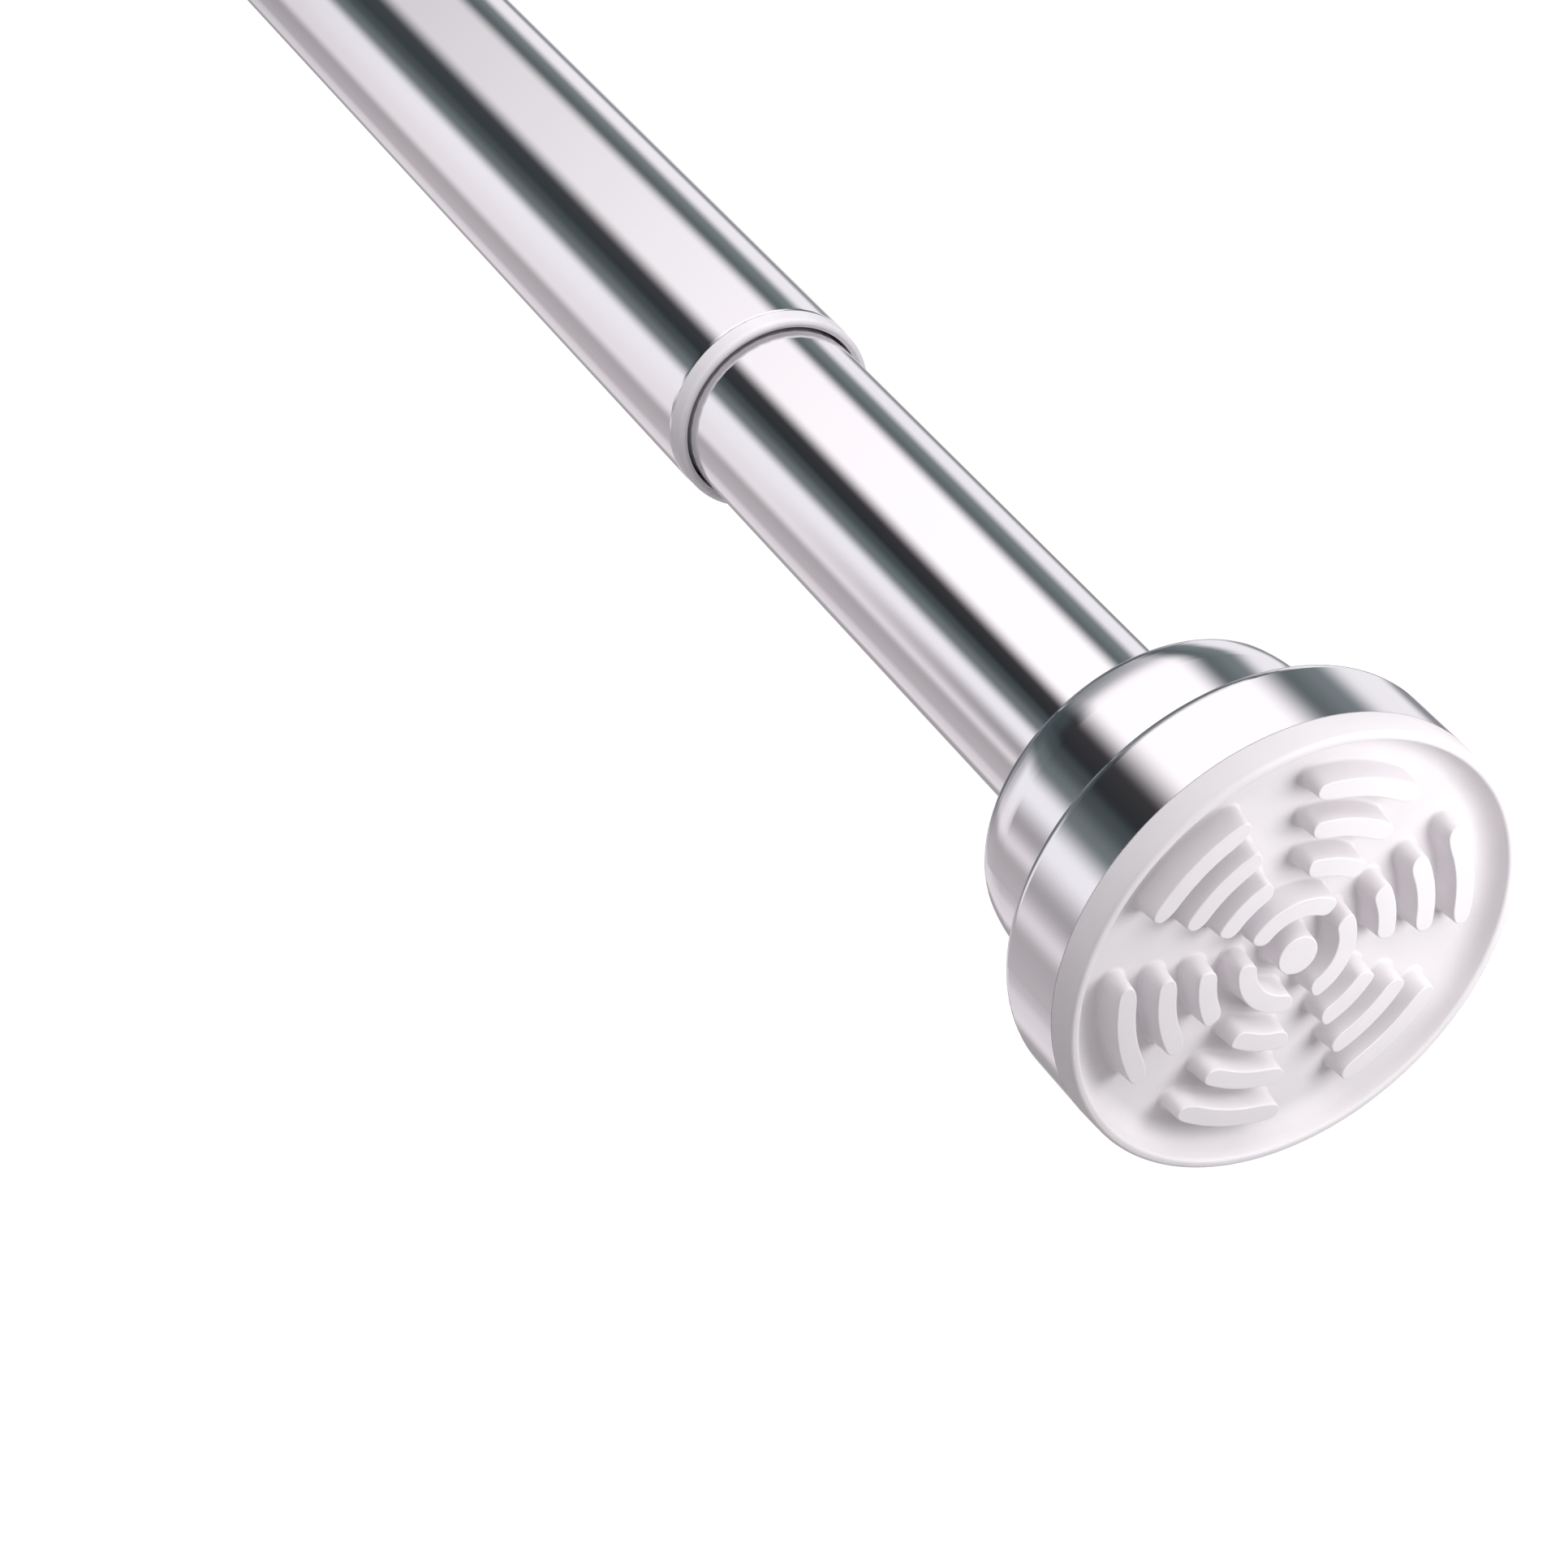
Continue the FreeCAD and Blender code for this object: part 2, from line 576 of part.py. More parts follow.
def build_parts():
    outer_cap = end_cap(outer_radius, OUTER_CAP_FLARE, OUTER_CAP_FLARE_LENGTH, OUTER_CAP_FLARE_ROUND)
    inner_cap = end_cap(inner_radius, INNER_CAP_FLARE, INNER_CAP_FLARE_LENGTH, INNER_CAP_FLARE_ROUND)
    return {
        "outer_tube": outer_tube(),
        "guide_collar": guide_collar(),
        "outer_end_cap": outer_cap,
        "outer_pad": pad(OUTER_TREAD_TURN),
        "outer_end_plug": end_plug(outer_radius, outer_bore),
        "outer_end_washer": end_washer(),
        "outer_end_screw": end_screw(),
        "inner_tube": inner_tube(),
        "inner_end_cap": to_inner_end(inner_cap),
        "inner_pad": to_inner_end(pad(INNER_TREAD_TURN)),
        "inner_end_plug": to_inner_end(end_plug(inner_radius, inner_bore)),
        "inner_end_washer": to_inner_end(end_washer()),
        "inner_end_screw": to_inner_end(end_screw()),
        "spindle_guide": spindle_guide(),
        "spindle": spindle(),
        "lock_cam": lock_cam(),
        "lock_shoe": lock_shoe(),
        "shoe_retainer": shoe_retainer(),
        "cam_screw": cam_screw(),
        "thrust_washer": thrust_washer(),
        "compression_spring": compression_spring(),
        "stop_washer": stop_washer(),
        "stop_clip": stop_clip()}


def main():
    os.makedirs("parts", exist_ok=True)
    for name, shape in build_parts().items():
        solid = shape.Solids[0] if len(shape.Solids) == 1 else shape
        print(f"{name:20s} solids {len(shape.Solids)} valid {shape.isValid()}"
              f" faces {len(shape.Faces)} volume {shape.Volume:.1f}")
        solid.exportStep(f"parts/{name}.step")
    print(f"rod length {rod_length:.2f}, tube mouth {tube_mouth:.2f}, inner tube from {inner_tube_start:.2f}")
    print(f"telescope {-shut_travel:.1f} when shut, spring travel {SPRING_TRAVEL:.1f}")


main()
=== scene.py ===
import json
import math

import bmesh
import bpy
from mathutils import Matrix, Vector


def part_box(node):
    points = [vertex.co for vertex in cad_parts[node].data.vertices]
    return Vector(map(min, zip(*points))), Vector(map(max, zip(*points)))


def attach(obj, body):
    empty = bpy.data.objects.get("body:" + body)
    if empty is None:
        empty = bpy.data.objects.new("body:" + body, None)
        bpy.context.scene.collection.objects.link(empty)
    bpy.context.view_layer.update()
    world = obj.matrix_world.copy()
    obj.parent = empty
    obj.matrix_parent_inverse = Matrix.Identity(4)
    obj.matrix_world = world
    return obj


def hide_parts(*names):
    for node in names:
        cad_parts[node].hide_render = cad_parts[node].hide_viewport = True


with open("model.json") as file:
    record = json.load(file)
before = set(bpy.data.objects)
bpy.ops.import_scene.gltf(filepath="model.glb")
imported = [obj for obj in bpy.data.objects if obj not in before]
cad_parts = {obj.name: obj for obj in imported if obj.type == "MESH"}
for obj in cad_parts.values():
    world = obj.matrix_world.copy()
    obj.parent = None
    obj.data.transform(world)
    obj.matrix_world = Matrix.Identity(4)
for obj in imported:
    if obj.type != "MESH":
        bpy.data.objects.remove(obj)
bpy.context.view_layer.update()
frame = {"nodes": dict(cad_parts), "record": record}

# Looks of a spring tension rod: polished tubes, chromed stepped caps and white rubber wall pads.
# Metres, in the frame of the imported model: X runs along the rod from the outer pad's face, Z is up.

nodes = frame["nodes"]
MM = 0.001


# Small helpers

# The part of a noise's range that carries a change of colour or roughness
NOISE_LOW = 0.3
NOISE_HIGH = 0.7


def linear(hex_colour):
    """Linear RGBA of an sRGB hex colour."""
    values = [int(hex_colour[i:i + 2], 16) / 255 for i in (1, 3, 5)]
    return [v / 12.92 if v <= 0.04045 else ((v + 0.055) / 1.055) ** 2.4 for v in values] + [1.0]


def add_node(tree, kind, settings=None, links=None):
    """Add a node, set its properties and input values, and link its inputs from other nodes' outputs."""
    node = tree.nodes.new(kind)
    for name, value in (settings or {}).items():
        if isinstance(name, str) and hasattr(node, name):
            setattr(node, name, value)
        else:
            node.inputs[name].default_value = value
    for name, (source, output) in (links or {}).items():
        tree.links.new(source.outputs[output], node.inputs[name])
    return node


def new_material(name):
    """Empty node material with its output and shader: returns the material, its tree and the shader."""
    material = bpy.data.materials.new(name)
    material.use_nodes = True
    tree = material.node_tree
    tree.nodes.clear()
    shader = add_node(tree, "ShaderNodeBsdfPrincipled")
    add_node(tree, "ShaderNodeOutputMaterial", links={"Surface": (shader, 0)})
    return material, tree, shader


def object_noise(tree, per_metre, stretch=(1, 1, 1), detail=3.0):
    """Noise in object coordinates, per_metre grains to the metre, drawn out along an axis by stretch."""
    place = add_node(tree, "ShaderNodeTexCoord")
    mapping = add_node(tree, "ShaderNodeMapping", {"Scale": stretch}, {"Vector": (place, "Object")})
    return add_node(tree, "ShaderNodeTexNoise", {"Scale": per_metre, "Detail": detail},
                    {"Vector": (mapping, 0)})


def vary_roughness(tree, shader, noise, low, high):
    """Let the roughness wander between two values with a noise."""
    spread = add_node(tree, "ShaderNodeMapRange", {"From Min": NOISE_LOW, "From Max": NOISE_HIGH,
                                                   "To Min": low, "To Max": high}, {"Value": (noise, 0)})
    tree.links.new(spread.outputs[0], shader.inputs["Roughness"])


def vary_colour(tree, shader, noise, dark, light):
    """Let the colour wander between two sRGB hex values with a noise."""
    ramp = add_node(tree, "ShaderNodeValToRGB", links={"Fac": (noise, 0)})
    ramp.color_ramp.elements[0].position = NOISE_LOW
    ramp.color_ramp.elements[0].color = linear(dark)
    ramp.color_ramp.elements[1].position = NOISE_HIGH
    ramp.color_ramp.elements[1].color = linear(light)
    tree.links.new(ramp.outputs[0], shader.inputs["Base Color"])


def bump_from(tree, shader, noise, height):
    """Raise the surface by a noise, height being its depth in metres."""
    bump = add_node(tree, "ShaderNodeBump", {"Strength": 1.0, "Distance": height}, {"Height": (noise, 0)})
    tree.links.new(bump.outputs[0], shader.inputs["Normal"])


# Materials

def polished_tube_steel():
    """Stainless steel tube, mirror-polished along its length: nearly sharp reflections with faint
    lengthwise polishing lines that only show in the roughness."""
    material, tree, shader = new_material("polished_stainless_tube")
    shader.inputs["Metallic"].default_value = 1.0
    shader.inputs["Base Color"].default_value = linear("#f4f2f4")
    lines = object_noise(tree, 1 / (0.8 * MM), stretch=(0.02, 1, 1))
    vary_roughness(tree, shader, lines, 0.035, 0.06)
    return material


def chrome_plate():
    """Bright chrome plated on a moulded ABS cap: a sharp mirror whose roughness wanders in slow waves."""
    material, tree, shader = new_material("bright_chrome_on_moulded_abs")
    shader.inputs["Metallic"].default_value = 1.0
    shader.inputs["Base Color"].default_value = linear("#f4f2f4")
    waves = object_noise(tree, 1 / (9 * MM), detail=1.0)
    vary_roughness(tree, shader, waves, 0.045, 0.07)
    return material


def moulded_pad_rubber():
    """White thermoplastic rubber, moulded in a satin tool: soft broad sheen and a little light inside."""
    material, tree, shader = new_material("moulded_white_rubber")
    shader.inputs["Roughness"].default_value = 0.5
    shader.inputs["Subsurface Weight"].default_value = 0.05
    shader.inputs["Subsurface Radius"].default_value = (1.0, 0.9, 0.85)
    shader.inputs["Subsurface Scale"].default_value = 0.8 * MM
    vary_colour(tree, shader, object_noise(tree, 1 / (6 * MM)), "#e0dcdf", "#e4e0e3")
    bump_from(tree, shader, object_noise(tree, 1 / (0.25 * MM), detail=2.0), 0.002 * MM)
    return material


def moulded_collar_plastic():
    """Pale grey acetal, injection moulded: an even satin face with a very fine tool grain."""
    material, tree, shader = new_material("moulded_pale_grey_acetal")
    shader.inputs["Roughness"].default_value = 0.38
    vary_colour(tree, shader, object_noise(tree, 1 / (4 * MM)), "#e2dfe3", "#e7e4e8")
    bump_from(tree, shader, object_noise(tree, 1 / (0.2 * MM), detail=2.0), 0.0006 * MM)
    return material


def moulded_natural_nylon(name, dark, light):
    """Unpigmented nylon, injection moulded: milky, with light carried a little way inside."""
    material, tree, shader = new_material(name)
    shader.inputs["Roughness"].default_value = 0.42
    shader.inputs["Subsurface Weight"].default_value = 0.2
    shader.inputs["Subsurface Scale"].default_value = 1.5 * MM
    vary_colour(tree, shader, object_noise(tree, 1 / (5 * MM)), dark, light)
    bump_from(tree, shader, object_noise(tree, 1 / (0.3 * MM)), 0.004 * MM)
    return material


def moulded_black_acetal():
    """Black acetal cam, injection moulded: dark satin with a greasy sheen where it rubs."""
    material, tree, shader = new_material("moulded_black_acetal")
    vary_colour(tree, shader, object_noise(tree, 1 / (3 * MM)), "#1b1b1d", "#232325")
    vary_roughness(tree, shader, object_noise(tree, 1 / (2 * MM)), 0.28, 0.45)
    return material


def zinc_plated_steel():
    """Bright zinc on small steel fasteners: bluish, softly mottled, half-sharp reflections."""
    material, tree, shader = new_material("zinc_plated_steel")
    shader.inputs["Metallic"].default_value = 1.0
    mottle = object_noise(tree, 1 / (1.5 * MM))
    vary_colour(tree, shader, mottle, "#b9bdc4", "#cfd2d6")
    vary_roughness(tree, shader, mottle, 0.22, 0.38)
    return material


def cold_drawn_steel():
    """Hexagonal bar drawn through a die: fine lines along it, which blur reflections lengthwise."""
    material, tree, shader = new_material("cold_drawn_steel")
    shader.inputs["Metallic"].default_value = 1.0
    lines = object_noise(tree, 1 / (0.3 * MM), stretch=(0.02, 1, 1))
    vary_colour(tree, shader, lines, "#9c9da0", "#b4b5b8")
    vary_roughness(tree, shader, lines, 0.25, 0.42)
    return material


def oiled_spring_wire():
    """Oil-tempered spring wire: dark, with an oily half-gloss."""
    material, tree, shader = new_material("oil_tempered_spring_wire")
    shader.inputs["Metallic"].default_value = 1.0
    mottle = object_noise(tree, 1 / (2 * MM))
    vary_colour(tree, shader, mottle, "#5c5c5f", "#737376")
    vary_roughness(tree, shader, mottle, 0.3, 0.45)
    return material


rubber = moulded_pad_rubber()
finishes = {
    "tube_steel": polished_tube_steel(),
    "cap_chrome": chrome_plate(),
    "pad_rubber": rubber,
    "collar_plastic": moulded_collar_plastic(),
    "plug_plastic": moulded_natural_nylon("moulded_natural_nylon", "#e4e2da", "#ebe9e2"),
    "lock_plastic": moulded_black_acetal(),
    "shoe_plastic": moulded_natural_nylon("moulded_offwhite_nylon", "#d8d6cc", "#e0ded5"),
    "fastener_steel": zinc_plated_steel(),
    "spindle_steel": cold_drawn_steel(),
    "spring_steel": oiled_spring_wire()}

for subpart in frame["record"]["subparts"]:
    slots = nodes[subpart["node"]].data.materials
    slots.clear()
    slots.append(finishes[subpart["material_slot"]])


# Rubber pads, as fine moulded meshes with rounded edges and filleted tread bars.
# Sizes are taken in the outer end's frame: x from the pad's face into the rod.

cap_low, cap_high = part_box("outer_end_cap")
pad_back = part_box("outer_pad")[1].x
rod_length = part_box("inner_pad")[1].x
collar_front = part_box("guide_collar")[1].x
rim_radius = cap_high.y
rim_thickness = cap_low.x

PAD_DRAFT = 0.15 * MM
PAD_CREST_WIDTH = 1.0 * MM
PAD_COVE_WIDTH = 0.6 * MM
PAD_EDGE_ROUND = 0.45 * MM
PAD_CREST_ROUND = 0.4 * MM
PAD_COVE_ROUND = 2.4 * MM
PAD_RIM_ROUND = 0.12 * MM
PAD_SPIGOT_STEP = 1.85 * MM
PAD_SPIGOT_ROUND = 0.5 * MM

# Tread: spans, corners and turns are in degrees about the pad's centre, and the corners are how far
# from its end a bar's outer and inner side begin to round. The tip is a share of the bar's width.
TREAD_HEIGHT = 3.0 * MM
TREAD_DRAFT = 0.25 * MM
TREAD_EDGE_ROUND = 0.14 * MM
TREAD_FOOT_ROUND = 0.4 * MM
TREAD_FLAT = 0.06 * MM
TREAD_DIP = 0.02 * MM
TREAD_SUNK = 0.4 * MM
TREAD_BOSS_RADIUS = 2.3 * MM
TREAD_RING_RADIUS = 5.88 * MM
TREAD_RING_SPAN = 97.7
TREAD_RING_CORNERS = (9.0, 12.0)
TREAD_RING_ARCS = 3
TREAD_SECTORS = 6
TREAD_SECTOR_SPAN = 38.0
TREAD_BAR_CORNERS = (4.0, 8.0)
TREAD_ROWS = 3
TREAD_ROW_PITCH = 4.65 * MM
TREAD_BAR_WIDTH = 2.2 * MM
TREAD_BAR_TIP = 0.45
TREAD_TURN = 81.0

# Steps of the curves: round the pad, along an outline's round, round the boss, along a bar's side,
# round its corner, and down the rounds of its edge and foot
PAD_STEPS_ROUND = 288
OUTLINE_STEPS = 8
BOSS_STEPS = 48
LONG_STEPS = 30
CORNER_STEPS = 9
WALL_STEPS = 5


def rounded_outline(corners):
    """Points of a closed outline of (x, radius, round) corners, with each round as an arc."""
    points = []
    for index, (x, radius, round_radius) in enumerate(corners):
        corner = Vector((x, radius))
        if round_radius <= 0:
            points.append(corner)
            continue
        before = Vector(corners[index - 1][:2]) - corner
        after = Vector(corners[(index + 1) % len(corners)][:2]) - corner
        before.normalize()
        after.normalize()
        half = before.angle(after) / 2
        centre = corner + (before + after).normalized() * (round_radius / math.sin(half))
        start = corner + before * (round_radius / math.tan(half)) - centre
        end = corner + after * (round_radius / math.tan(half)) - centre
        turn = start.angle_signed(end)
        for step in range(OUTLINE_STEPS + 1):
            points.append(centre + start @ Matrix.Rotation(turn * step / OUTLINE_STEPS, 2))
    return points


def mesh_object(name, bm):
    mesh = bpy.data.meshes.new(name)
    bm.to_mesh(mesh)
    bm.free()
    mesh.shade_smooth()
    piece = bpy.data.objects.new(name, mesh)
    bpy.context.scene.collection.objects.link(piece)
    return piece


def turned_mesh(bm, points, steps_round):
    """Add a surface turned about X from (x, radius) points that start and end on the axis."""
    first = bm.verts.new((points[0].x, 0, 0))
    last = bm.verts.new((points[-1].x, 0, 0))
    rings = []
    for point in points[1:-1]:
        ring = []
        for step in range(steps_round):
            angle = 2 * math.pi * step / steps_round
            ring.append(bm.verts.new((point.x, point.y * math.cos(angle), point.y * math.sin(angle))))
        rings.append(ring)
    for step in range(steps_round):
        beside = (step + 1) % steps_round
        bm.faces.new((first, rings[0][step], rings[0][beside]))
        bm.faces.new((last, rings[-1][beside], rings[-1][step]))
        for low, high in zip(rings, rings[1:]):
            bm.faces.new((low[step], high[step], high[beside], low[beside]))


def polar(radius, degrees):
    angle = math.radians(degrees)
    return Vector((radius * math.cos(angle), radius * math.sin(angle)))


def bar_corner(radius, corner, half, tip):
    """Points of the curve from a bar's long side, corner degrees before its end, to the end's tip."""
    start = polar(radius, half - corner)
    peak = polar(radius / math.cos(math.radians(corner)), half)
    end = polar(tip, half)
    points = []
    for step in range(CORNER_STEPS + 1):
        t = step / CORNER_STEPS
        points.append(start * (1 - t) ** 2 + peak * 2 * t * (1 - t) + end * t ** 2)
    return points


def bar_outline(middle, span, corners):
    """Footprint of a tread bar at its top: a curved band with softly rounded ends."""
    high = middle + TREAD_BAR_WIDTH / 2
    low = middle - TREAD_BAR_WIDTH / 2
    tip = high - TREAD_BAR_TIP * TREAD_BAR_WIDTH
    half = span / 2
    outer, inner = half - corners[0], half - corners[1]
    outer_end = bar_corner(high, corners[0], half, tip)
    inner_end = bar_corner(low, corners[1], half, tip)
    upper = outer_end + inner_end[-2::-1]
    lower = [Vector((point.x, -point.y)) for point in upper[::-1]]
    outer_side = [polar(high, -outer + 2 * outer * step / LONG_STEPS) for step in range(1, LONG_STEPS)]
    inner_side = [polar(low, inner - 2 * inner * step / LONG_STEPS) for step in range(1, LONG_STEPS)]
    return outer_side + upper + inner_side + lower


def wall_profile():
    """(outset, depth) pairs down a tread bar's side: rounded edge, drafted wall, filleted foot."""
    profile = [(-TREAD_EDGE_ROUND - TREAD_FLAT, 0)]
    for step in range(WALL_STEPS + 1):
        angle = math.pi / 2 * step / WALL_STEPS
        profile.append((TREAD_EDGE_ROUND * (math.sin(angle) - 1), TREAD_EDGE_ROUND * (1 - math.cos(angle))))
    for step in range(WALL_STEPS + 1):
        angle = math.pi / 2 * step / WALL_STEPS
        profile.append((TREAD_DRAFT + TREAD_FOOT_ROUND * (1 - math.cos(angle)),
                        TREAD_HEIGHT - TREAD_FOOT_ROUND * (1 - math.sin(angle))))
    foot = TREAD_DRAFT + TREAD_FOOT_ROUND + TREAD_FLAT
    profile.append((foot, TREAD_HEIGHT + TREAD_DIP))
    profile.append((foot, TREAD_HEIGHT + TREAD_SUNK))
    return profile


def tread_block(name, outline):
    """One closed tread block from its top outline, sunk a little into the pad's floor."""
    count = len(outline)
    outwards = []
    for index, point in enumerate(outline):
        along = (outline[(index + 1) % count] - outline[index - 1]).normalized()
        outwards.append(Vector((along.y, -along.x)))
    bm = bmesh.new()
    rings = []
    for outset, depth in wall_profile():
        rings.append([bm.verts.new((depth, *(point + normal * outset)))
                      for point, normal in zip(outline, outwards)])
    for low, high in zip(rings, rings[1:]):
        for index in range(count):
            beside = (index + 1) % count
            bm.faces.new((low[index], high[index], high[beside], low[beside]))
    bm.faces.new(rings[0])
    bm.faces.new(rings[-1][::-1])
    bmesh.ops.recalc_face_normals(bm, faces=bm.faces)
    return mesh_object(name, bm)


def repeat_tree():
    """Node tree that repeats a block evenly about the X axis and gives it its material."""
    tree = bpy.data.node_groups.new("repeat_about_rod_axis", "GeometryNodeTree")
    for name, kind in (("Block", "NodeSocketObject"), ("Copies", "NodeSocketInt"),
                       ("First Angle", "NodeSocketFloat"), ("Finish", "NodeSocketMaterial")):
        tree.interface.new_socket(name, in_out="INPUT", socket_type=kind)
    tree.interface.new_socket("Geometry", in_out="OUTPUT", socket_type="NodeSocketGeometry")
    entry = add_node(tree, "NodeGroupInput")
    block = add_node(tree, "GeometryNodeObjectInfo", links={"Object": (entry, "Block")})
    points = add_node(tree, "GeometryNodePoints", links={"Count": (entry, "Copies")})
    index = add_node(tree, "GeometryNodeInputIndex")
    share = add_node(tree, "ShaderNodeMath", {"operation": "DIVIDE"},
                     {0: (index, 0), 1: (entry, "Copies")})
    angle = add_node(tree, "ShaderNodeMath", {"operation": "MULTIPLY_ADD", 1: 2 * math.pi},
                     {0: (share, 0), 2: (entry, "First Angle")})
    turn = add_node(tree, "ShaderNodeCombineXYZ", links={"X": (angle, 0)})
    rotation = add_node(tree, "FunctionNodeEulerToRotation", links={0: (turn, 0)})
    copies = add_node(tree, "GeometryNodeInstanceOnPoints", links={
        "Points": (points, 0), "Instance": (block, "Geometry"), "Rotation": (rotation, 0)})
    realized = add_node(tree, "GeometryNodeRealizeInstances", links={0: (copies, 0)})
    finished = add_node(tree, "GeometryNodeSetMaterial",
                        links={"Geometry": (realized, 0), "Material": (entry, "Finish")})
    add_node(tree, "NodeGroupOutput", links={0: (finished, 0)})
    return tree


def repeated(block, copies, first_angle, tree):
    """Plain mesh of a block repeated about the X axis."""
    carrier = bpy.data.objects.new("carrier", bpy.data.meshes.new("carrier"))
    bpy.context.scene.collection.objects.link(carrier)
    modifier = carrier.modifiers.new("repeat", "NODES")
    modifier.node_group = tree
    values = {"Block": block, "Copies": copies, "First Angle": math.radians(first_angle), "Finish": rubber}
    for socket in tree.interface.items_tree:
        if socket.in_out == "INPUT":
            modifier[socket.identifier] = values[socket.name]
    evaluated = carrier.evaluated_get(bpy.context.evaluated_depsgraph_get())
    mesh = bpy.data.meshes.new_from_object(evaluated)
    bpy.data.objects.remove(carrier)
    bpy.data.objects.remove(block)
    return mesh


def pad_profile():
    """(x, radius) outline of the pad: recessed floor, cove, crest, drafted rim and spigot."""
    face_radius = rim_radius - PAD_DRAFT
    crest = face_radius - PAD_CREST_WIDTH
    spigot = rim_radius - PAD_SPIGOT_STEP
    corners = [
        (TREAD_HEIGHT, 0, 0),
        (TREAD_HEIGHT, crest - PAD_COVE_WIDTH, PAD_COVE_ROUND),
        (0, crest, PAD_CREST_ROUND),
        (0, face_radius, PAD_EDGE_ROUND),
        (rim_thickness, rim_radius, PAD_RIM_ROUND),
        (rim_thickness, spigot, 0),
        (pad_back, spigot, PAD_SPIGOT_ROUND),
        (pad_back, 0, 0)]
    return rounded_outline(corners)


def pad_piece(name, node, body, to_place):
    """Moulded pad with its tread, in place at one end of the rod."""
    bm = bmesh.new()
    turned_mesh(bm, pad_profile(), PAD_STEPS_ROUND)
    tree = repeat_tree()
    boss = [polar(TREAD_BOSS_RADIUS, 360 * step / BOSS_STEPS) for step in range(BOSS_STEPS)]
    treads = [repeated(tread_block("boss", boss), 1, 0, tree)]
    ring_arc = bar_outline(TREAD_RING_RADIUS, TREAD_RING_SPAN, TREAD_RING_CORNERS)
    treads.append(repeated(tread_block("ring_arc", ring_arc), TREAD_RING_ARCS, 0, tree))
    for row in range(1, TREAD_ROWS + 1):
        bar = bar_outline(TREAD_RING_RADIUS + row * TREAD_ROW_PITCH, TREAD_SECTOR_SPAN, TREAD_BAR_CORNERS)
        treads.append(repeated(tread_block("bar", bar), TREAD_SECTORS, 180 / TREAD_SECTORS, tree))
    for mesh in treads:
        bm.from_mesh(mesh)
        bpy.data.meshes.remove(mesh)
    bmesh.ops.transform(bm, matrix=to_place @ Matrix.Rotation(math.radians(TREAD_TURN), 4, "X"),
                        verts=bm.verts)
    bmesh.ops.recalc_face_normals(bm, faces=bm.faces)
    piece = mesh_object(name, bm)
    piece.data.materials.clear()
    piece.data.materials.append(rubber)
    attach(piece, body)
    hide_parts(node)


to_inner_end = Matrix.Translation((rod_length, 0, 0)) @ Matrix.Rotation(math.pi, 4, "Z")
pad_piece("outer_pad_moulding", "outer_pad", "outer_assembly", Matrix.Identity(4))
pad_piece("inner_pad_moulding", "inner_pad", "inner_assembly", to_inner_end)


# Studio: a pale floor far below the rod, soft lamps, and cards that only the metal shows

WHITE = (1, 1, 1, 1)
FLOOR_DROP = 0.9
FLOOR_RADIUS = 6.0
FLOOR_SEGMENTS = 96
FLOOR_PAINT = "#c4c3c4"
FLOOR_GLOW = 1.3
FLOOR_GLOW_SHARE = 0.7


def floor():
    """Matt floor that looks white to the camera, keeps a shadow and is clear from below."""
    bm = bmesh.new()
    bmesh.ops.create_circle(bm, cap_ends=True, segments=FLOOR_SEGMENTS, radius=FLOOR_RADIUS)
    bmesh.ops.translate(bm, verts=bm.verts, vec=(rod_length / 2, 0, -FLOOR_DROP))
    piece = mesh_object("floor", bm)
    material = bpy.data.materials.new("matt_painted_floor")
    material.use_nodes = True
    tree = material.node_tree
    tree.nodes.clear()
    rays = add_node(tree, "ShaderNodeLightPath")
    seen = add_node(tree, "ShaderNodeMath", {"operation": "MAXIMUM"},
                    {0: (rays, "Is Camera Ray"), 1: (rays, "Is Transmission Ray")})
    share = add_node(tree, "ShaderNodeMath", {"operation": "MULTIPLY", 1: FLOOR_GLOW_SHARE}, {0: (seen, 0)})
    paint = add_node(tree, "ShaderNodeBsdfDiffuse", {"Color": linear(FLOOR_PAINT)})
    glow = add_node(tree, "ShaderNodeEmission", {"Color": WHITE, "Strength": FLOOR_GLOW})
    top = add_node(tree, "ShaderNodeMixShader", links={0: (share, 0), 1: (paint, 0), 2: (glow, 0)})
    clear = add_node(tree, "ShaderNodeBsdfTransparent")
    facing = add_node(tree, "ShaderNodeNewGeometry")
    both = add_node(tree, "ShaderNodeMixShader",
                    links={0: (facing, "Backfacing"), 1: (top, 0), 2: (clear, 0)})
    add_node(tree, "ShaderNodeOutputMaterial", links={"Surface": (both, 0)})
    piece.data.materials.append(material)
    piece.visible_glossy = False


# Cards round the rod, by their angle about its axis from +Y towards +Z, with their tone at either
# edge. Between two cards the tone passes softly from one to the other.
CARDS = [
    ("upper teal flag", 20, 35, "#70787b", "#5e6669"),
    ("key softbox", 56, 108, "#fffbfe", "#fffbfe"),
    ("black flag", 127, 137, "#343335", "#2b2e31"),
    ("black flag's lit edge", 144, 156, "#424a4c", "#697174"),
    ("side fill", 170, 203, "#e6e5ea", "#dfdade"),
    ("floor shade", 217, 238, "#a6a1a5", "#afaaae"),
    ("floor light", 252, 264, "#cfcacf", "#d5d0d4"),
    ("low card", 277, 286, "#9e9a9e", "#979396"),
    ("far floor", 300, 316, "#c0bdc1", "#c2c0c4"),
    ("far flag", 322, 328, "#808084", "#87888c"),
    ("far fill", 343, 362, "#e6e4e8", "#e2e1e5")]
METAL_WHITE = 1.15

# Towards the outer end the cards turn about the rod by a shift in degrees, and by a lean in degrees
# times how far up the ray points.
FAR_CARD_SHIFT = -3.2
FAR_CARD_LEAN = 11.5

